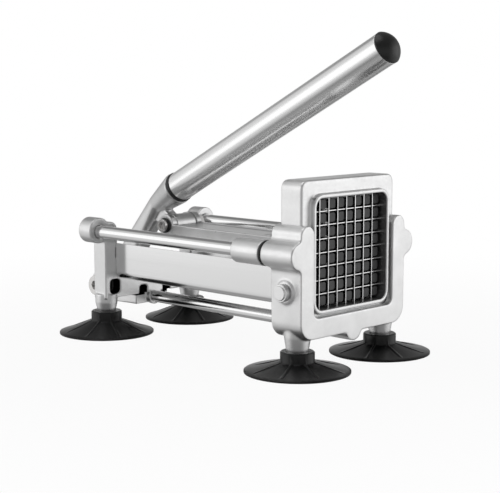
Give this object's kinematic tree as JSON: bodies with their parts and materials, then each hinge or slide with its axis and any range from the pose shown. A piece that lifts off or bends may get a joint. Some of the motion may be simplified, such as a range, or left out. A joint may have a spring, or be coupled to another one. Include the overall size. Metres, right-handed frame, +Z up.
{
  "type": "french fry cutter",
  "caption": "Hand-lever potato cutter: a handle swings a push link that drives a studded pusher along two guide rods through a square blade grid; stands on suction cups.",
  "frame": {"origin": "on the table, at the middle of the whole object's footprint", "axes": "+Z up, +X across the cutter, +Y from the blade frame towards the lever pivot; the blade frame faces -Y"},
  "size_m": [0.1644, 0.3028, 0.2306],
  "materials": {
    "cast_aluminium": "matt cast and tumbled",
    "lever_casting": "smooth cast, slightly darker",
    "polished_rod": "polished bar",
    "satin_tray": "satin stainless sheet",
    "handle_steel": "satin stainless tube",
    "blade_steel": "ground stainless strip",
    "nickel_fasteners": "nickel plated",
    "dark_washers": "blackened",
    "spring_steel": "bright wire",
    "black_rubber": "soft semi-gloss",
    "cap_plastic": "semi-gloss moulded",
    "stud_plastic": "moulded"
  },
  "bodies": {
    "frame": {"front_frame": "cast_aluminium", "rear_frame": "cast_aluminium", "guide_rod_left": "polished_rod", "guide_rod_right": "polished_rod", "guide_rod_screws": "nickel_fasteners", "tie_rod": "polished_rod", "tie_rod_nut": "nickel_fasteners", "potato_tray": "satin_tray", "blade_frame": "cast_aluminium", "blades_vertical": "blade_steel", "blades_horizontal": "blade_steel", "bumper_left": "black_rubber", "bumper_right": "black_rubber", "suction_cup_front_left": "black_rubber", "suction_cup_front_right": "black_rubber", "suction_cup_rear_left": "black_rubber", "suction_cup_rear_right": "black_rubber", "pivot_bolt": "nickel_fasteners", "pivot_nut": "nickel_fasteners", "lock_spring_left": "spring_steel", "lock_spring_right": "spring_steel"},
    "lever": {"lever_arm": "lever_casting", "handle_tube": "handle_steel", "handle_gasket": "black_rubber", "handle_cap": "cap_plastic"},
    "link": {"push_link": "lever_casting", "link_bolt": "nickel_fasteners", "link_washers": "dark_washers", "link_nut": "nickel_fasteners", "front_bolt_head": "nickel_fasteners", "front_bolt_nut": "nickel_fasteners"},
    "pusher": {"pusher_carriage": "cast_aluminium", "pusher_pin": "nickel_fasteners", "pusher_block": "stud_plastic", "block_screws": "nickel_fasteners"},
    "lock_pin_left": {"lock_pin_left": "nickel_fasteners"},
    "lock_pin_right": {"lock_pin_right": "nickel_fasteners"}
  },
  "joints": [
    {"name": "lever_pivot", "type": "hinge", "parent": "frame", "child": "lever", "pos_m": [0, 0.13936, 0.03], "axis": [-1, 0, 0], "range_deg": [0, 62]},
    {"name": "link_pivot", "type": "hinge", "parent": "lever", "child": "link", "pos_m": [0, 0.06036, 0.0855], "axis": [1, 0, 0], "range_deg": [0, 81.5]},
    {"name": "pusher_slide", "type": "slide", "parent": "frame", "child": "pusher", "axis": [0, 1, 0], "range_m": [0, 0.0993]},
    {"name": "lock_pull_left", "type": "slide", "parent": "frame", "child": "lock_pin_left", "axis": [-1, 0, 0], "range_m": [0, 0.003], "stiffness_N_per_m": 400, "springref_m": -0.002, "deforming": ["lock_spring_left"]},
    {"name": "lock_pull_right", "type": "slide", "parent": "frame", "child": "lock_pin_right", "axis": [1, 0, 0], "range_m": [0, 0.003], "stiffness_N_per_m": 400, "springref_m": -0.002, "deforming": ["lock_spring_right"]}
  ],
  "couplings": [
    {"joint": "link_pivot", "follows": "lever_pivot", "ratio": 1.3144},
    {"joint": "pusher_slide", "follows": "lever_pivot", "m_per_rad": 0.091684}
  ]
}
